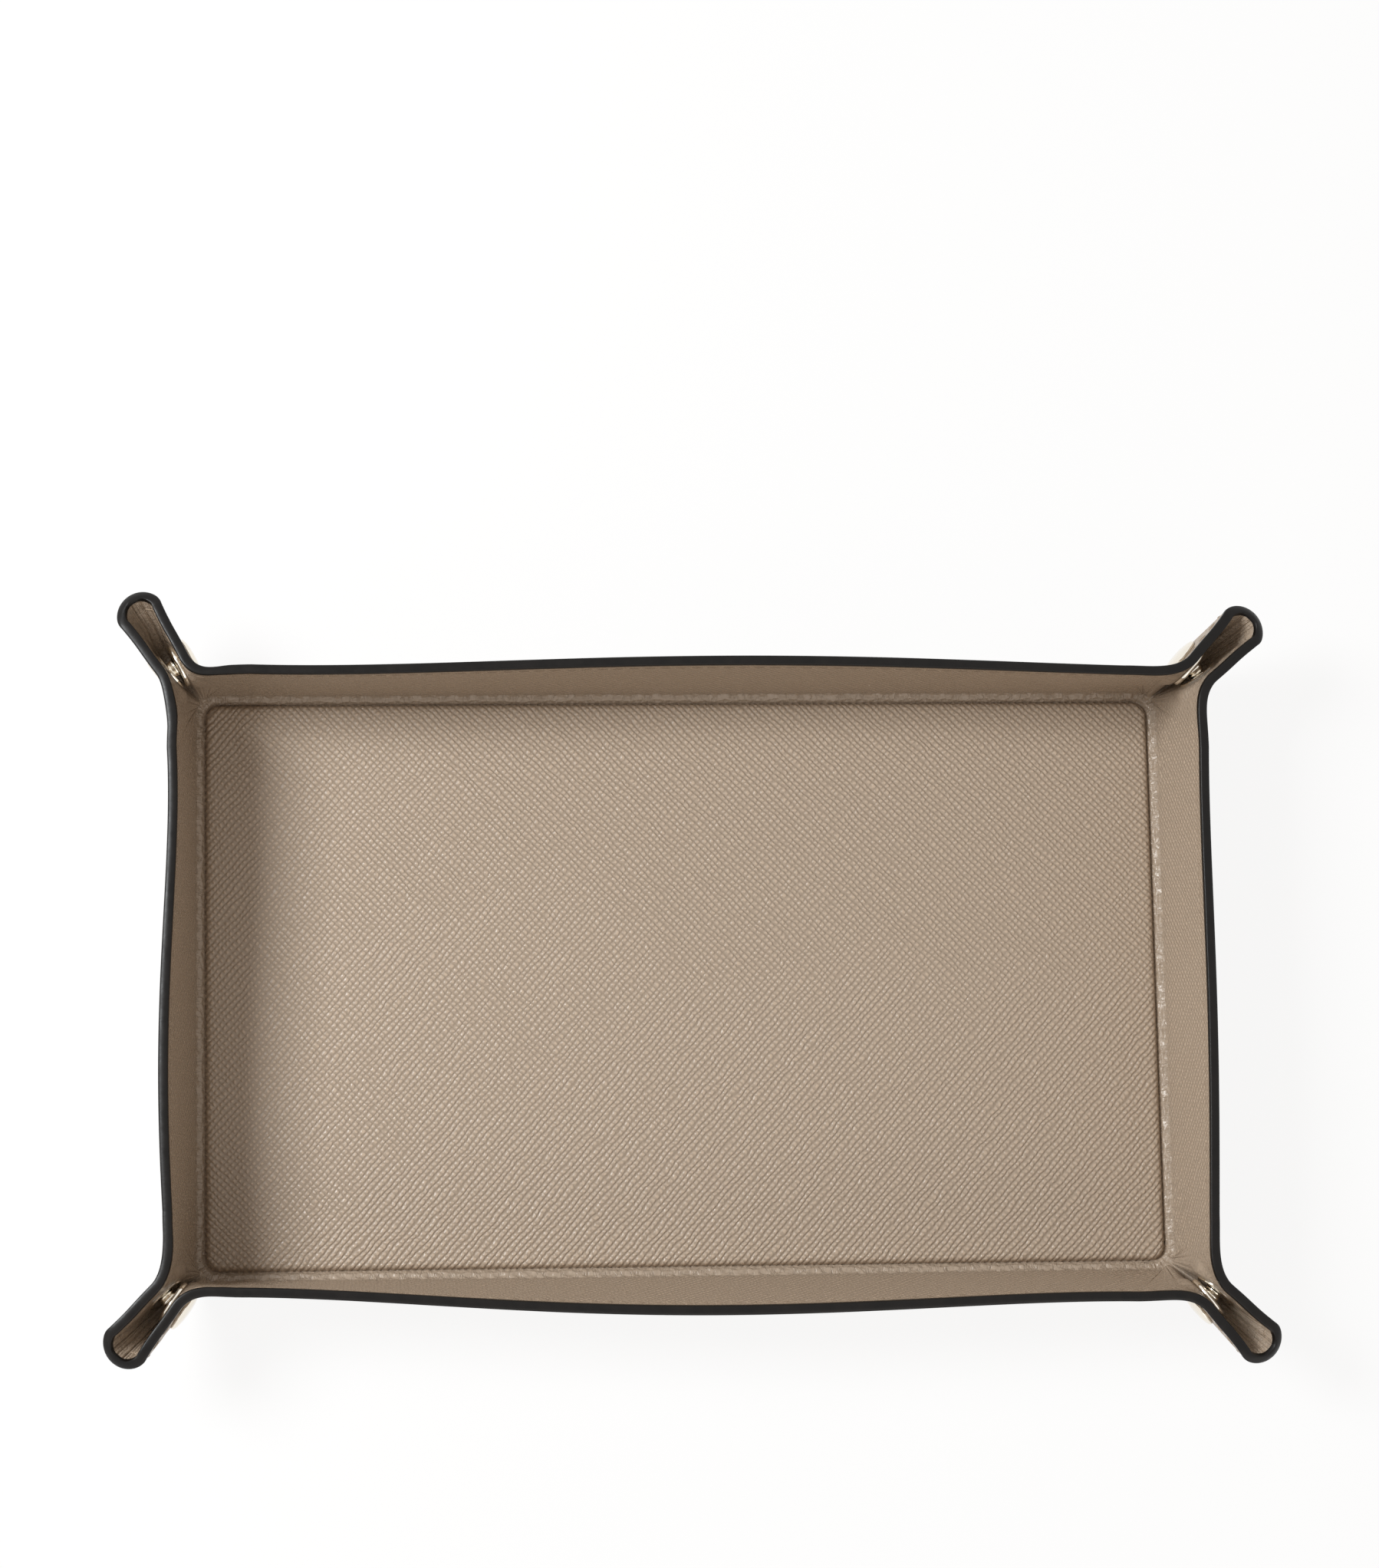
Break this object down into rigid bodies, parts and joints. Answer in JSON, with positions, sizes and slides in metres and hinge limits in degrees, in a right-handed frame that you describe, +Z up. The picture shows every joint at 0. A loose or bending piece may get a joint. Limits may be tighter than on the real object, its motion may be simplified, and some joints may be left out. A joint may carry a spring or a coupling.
{
  "type": "leather trinket tray",
  "caption": "Rectangular lined leather tray folded from one flat blank, with low walls, rounded pinched corner ears, press studs and painted edges; it opens flat.",
  "frame": {"origin": "on the table under the middle of the floor panel", "axes": "+X along the tray to its right wall, +Y to its back wall, +Z up"},
  "size_m": [0.2402, 0.1582, 0.027],
  "materials": {
    "lining_leather": "taupe cross-grain, satin",
    "cover_leather": "taupe cross-grain, satin",
    "edge_paint": "black edge paint, semi-matte",
    "board": "bonded leather board, raw",
    "snap_metal": "pale gold plate, polished"
  },
  "bodies": {
    "floor": {"floor_lining": "lining_leather", "floor_board": "board", "floor_cover": "cover_leather"},
    "back_wall": {"back_wall_lining": "lining_leather", "back_wall_board": "board", "back_wall_cover": "cover_leather", "back_wall_edge": "edge_paint"},
    "front_wall": {"front_wall_lining": "lining_leather", "front_wall_board": "board", "front_wall_cover": "cover_leather", "front_wall_edge": "edge_paint"},
    "left_wall": {"left_wall_lining": "lining_leather", "left_wall_board": "board", "left_wall_cover": "cover_leather", "left_wall_edge": "edge_paint"},
    "right_wall": {"right_wall_lining": "lining_leather", "right_wall_board": "board", "right_wall_cover": "cover_leather", "right_wall_edge": "edge_paint"},
    "back_left_long_ear": {"back_left_long_ear_lining": "lining_leather", "back_left_long_ear_cover": "cover_leather", "back_left_snap_cap": "snap_metal", "back_left_snap_socket": "snap_metal"},
    "back_left_long_loop": {"back_left_long_loop": "lining_leather"},
    "back_left_short_ear": {"back_left_short_ear_lining": "lining_leather", "back_left_short_ear_cover": "cover_leather", "back_left_snap_stud": "snap_metal", "back_left_snap_post": "snap_metal"},
    "back_left_short_loop": {"back_left_short_loop": "lining_leather"},
    "back_right_long_ear": {"back_right_long_ear_lining": "lining_leather", "back_right_long_ear_cover": "cover_leather", "back_right_snap_cap": "snap_metal", "back_right_snap_socket": "snap_metal"},
    "back_right_long_loop": {"back_right_long_loop": "lining_leather"},
    "back_right_short_ear": {"back_right_short_ear_lining": "lining_leather", "back_right_short_ear_cover": "cover_leather", "back_right_snap_stud": "snap_metal", "back_right_snap_post": "snap_metal"},
    "back_right_short_loop": {"back_right_short_loop": "lining_leather"},
    "front_left_long_ear": {"front_left_long_ear_lining": "lining_leather", "front_left_long_ear_cover": "cover_leather", "front_left_snap_cap": "snap_metal", "front_left_snap_socket": "snap_metal"},
    "front_left_long_loop": {"front_left_long_loop": "lining_leather"},
    "front_left_short_ear": {"front_left_short_ear_lining": "lining_leather", "front_left_short_ear_cover": "cover_leather", "front_left_snap_stud": "snap_metal", "front_left_snap_post": "snap_metal"},
    "front_left_short_loop": {"front_left_short_loop": "lining_leather"},
    "front_right_long_ear": {"front_right_long_ear_lining": "lining_leather", "front_right_long_ear_cover": "cover_leather", "front_right_snap_cap": "snap_metal", "front_right_snap_socket": "snap_metal"},
    "front_right_long_loop": {"front_right_long_loop": "lining_leather"},
    "front_right_short_ear": {"front_right_short_ear_lining": "lining_leather", "front_right_short_ear_cover": "cover_leather", "front_right_snap_stud": "snap_metal", "front_right_snap_post": "snap_metal"},
    "front_right_short_loop": {"front_right_short_loop": "lining_leather"}
  },
  "joints": [
    {"name": "back_wall_fold", "type": "hinge", "parent": "floor", "child": "back_wall", "pos_m": [0, 0.0607, 0.00115], "axis": [-1, 0, 0], "range_deg": [0, 77]},
    {"name": "front_wall_fold", "type": "hinge", "parent": "floor", "child": "front_wall", "pos_m": [0, -0.0607, 0.00115], "axis": [1, 0, 0], "range_deg": [-0.5, 77.5]},
    {"name": "left_wall_fold", "type": "hinge", "parent": "floor", "child": "left_wall", "pos_m": [-0.1017, 0, 0.00115], "axis": [0, -1, 0], "range_deg": [-0.5, 77.5]},
    {"name": "right_wall_fold", "type": "hinge", "parent": "floor", "child": "right_wall", "pos_m": [0.1017, 0, 0.00115], "axis": [0, 1, 0], "range_deg": [-0.5, 77.5]},
    {"name": "back_left_long_ear_bend", "type": "hinge", "parent": "back_wall", "child": "back_left_long_ear", "pos_m": [-0.10014, 0.0604, 0.00119], "axis": [-0.0523, 0.139, 0.9889], "range_deg": [-0.5, 47.75]},
    {"name": "back_left_long_loop_fold", "type": "hinge", "parent": "back_left_long_ear", "child": "back_left_long_loop", "pos_m": [-0.10014, 0.0604, 0.00119], "axis": [0.3805, -0.546, -0.7464], "range_deg": [-0.5, 43.77]},
    {"name": "back_left_short_ear_bend", "type": "hinge", "parent": "left_wall", "child": "back_left_short_ear", "pos_m": [-0.1014, 0.05914, 0.00119], "axis": [0.139, -0.0523, -0.9889], "range_deg": [-0.5, 47.75]},
    {"name": "back_left_short_loop_fold", "type": "hinge", "parent": "back_left_short_ear", "child": "back_left_short_loop", "pos_m": [-0.1014, 0.05914, 0.00119], "axis": [-0.546, 0.3805, 0.7464], "range_deg": [-0.5, 43.77]},
    {"name": "back_right_long_ear_bend", "type": "hinge", "parent": "back_wall", "child": "back_right_long_ear", "pos_m": [0.10014, 0.0604, 0.00119], "axis": [-0.0523, -0.139, -0.9889], "range_deg": [-0.5, 47.75]},
    {"name": "back_right_long_loop_fold", "type": "hinge", "parent": "back_right_long_ear", "child": "back_right_long_loop", "pos_m": [0.10014, 0.0604, 0.00119], "axis": [0.3805, 0.546, 0.7464], "range_deg": [-0.5, 43.77]},
    {"name": "back_right_short_ear_bend", "type": "hinge", "parent": "right_wall", "child": "back_right_short_ear", "pos_m": [0.1014, 0.05914, 0.00119], "axis": [0.139, 0.0523, 0.9889], "range_deg": [-0.5, 47.75]},
    {"name": "back_right_short_loop_fold", "type": "hinge", "parent": "back_right_short_ear", "child": "back_right_short_loop", "pos_m": [0.1014, 0.05914, 0.00119], "axis": [-0.546, -0.3805, -0.7464], "range_deg": [-0.5, 43.77]},
    {"name": "front_left_long_ear_bend", "type": "hinge", "parent": "front_wall", "child": "front_left_long_ear", "pos_m": [-0.10014, -0.0604, 0.00119], "axis": [0.0523, 0.139, -0.9889], "range_deg": [-0.5, 47.75]},
    {"name": "front_left_long_loop_fold", "type": "hinge", "parent": "front_left_long_ear", "child": "front_left_long_loop", "pos_m": [-0.10014, -0.0604, 0.00119], "axis": [-0.3805, -0.546, 0.7464], "range_deg": [-0.5, 43.77]},
    {"name": "front_left_short_ear_bend", "type": "hinge", "parent": "left_wall", "child": "front_left_short_ear", "pos_m": [-0.1014, -0.05914, 0.00119], "axis": [-0.139, -0.0523, 0.9889], "range_deg": [-0.5, 47.75]},
    {"name": "front_left_short_loop_fold", "type": "hinge", "parent": "front_left_short_ear", "child": "front_left_short_loop", "pos_m": [-0.1014, -0.05914, 0.00119], "axis": [0.546, 0.3805, -0.7464], "range_deg": [-0.5, 43.77]},
    {"name": "front_right_long_ear_bend", "type": "hinge", "parent": "front_wall", "child": "front_right_long_ear", "pos_m": [0.10014, -0.0604, 0.00119], "axis": [0.0523, -0.139, 0.9889], "range_deg": [-0.5, 47.75]},
    {"name": "front_right_long_loop_fold", "type": "hinge", "parent": "front_right_long_ear", "child": "front_right_long_loop", "pos_m": [0.10014, -0.0604, 0.00119], "axis": [-0.3805, 0.546, -0.7464], "range_deg": [-0.5, 43.77]},
    {"name": "front_right_short_ear_bend", "type": "hinge", "parent": "right_wall", "child": "front_right_short_ear", "pos_m": [0.1014, -0.05914, 0.00119], "axis": [-0.139, 0.0523, -0.9889], "range_deg": [-0.5, 47.75]},
    {"name": "front_right_short_loop_fold", "type": "hinge", "parent": "front_right_short_ear", "child": "front_right_short_loop", "pos_m": [0.1014, -0.05914, 0.00119], "axis": [0.546, -0.3805, 0.7464], "range_deg": [-0.5, 43.77]}
  ],
  "couplings": [
    {"joint": "front_wall_fold", "follows": "back_wall_fold", "ratio": 1},
    {"joint": "left_wall_fold", "follows": "back_wall_fold", "ratio": 1},
    {"joint": "right_wall_fold", "follows": "back_wall_fold", "ratio": 1},
    {"joint": "back_left_long_ear_bend", "follows": "back_wall_fold", "ratio": 0.61361},
    {"joint": "back_left_long_loop_fold", "follows": "back_wall_fold", "ratio": 0.56194},
    {"joint": "back_left_short_ear_bend", "follows": "back_wall_fold", "ratio": 0.61361},
    {"joint": "back_left_short_loop_fold", "follows": "back_wall_fold", "ratio": 0.56194},
    {"joint": "back_right_long_ear_bend", "follows": "back_wall_fold", "ratio": 0.61361},
    {"joint": "back_right_long_loop_fold", "follows": "back_wall_fold", "ratio": 0.56194},
    {"joint": "back_right_short_ear_bend", "follows": "back_wall_fold", "ratio": 0.61361},
    {"joint": "back_right_short_loop_fold", "follows": "back_wall_fold", "ratio": 0.56194},
    {"joint": "front_left_long_ear_bend", "follows": "back_wall_fold", "ratio": 0.61361},
    {"joint": "front_left_long_loop_fold", "follows": "back_wall_fold", "ratio": 0.56194},
    {"joint": "front_left_short_ear_bend", "follows": "back_wall_fold", "ratio": 0.61361},
    {"joint": "front_left_short_loop_fold", "follows": "back_wall_fold", "ratio": 0.56194},
    {"joint": "front_right_long_ear_bend", "follows": "back_wall_fold", "ratio": 0.61361},
    {"joint": "front_right_long_loop_fold", "follows": "back_wall_fold", "ratio": 0.56194},
    {"joint": "front_right_short_ear_bend", "follows": "back_wall_fold", "ratio": 0.61361},
    {"joint": "front_right_short_loop_fold", "follows": "back_wall_fold", "ratio": 0.56194}
  ]
}
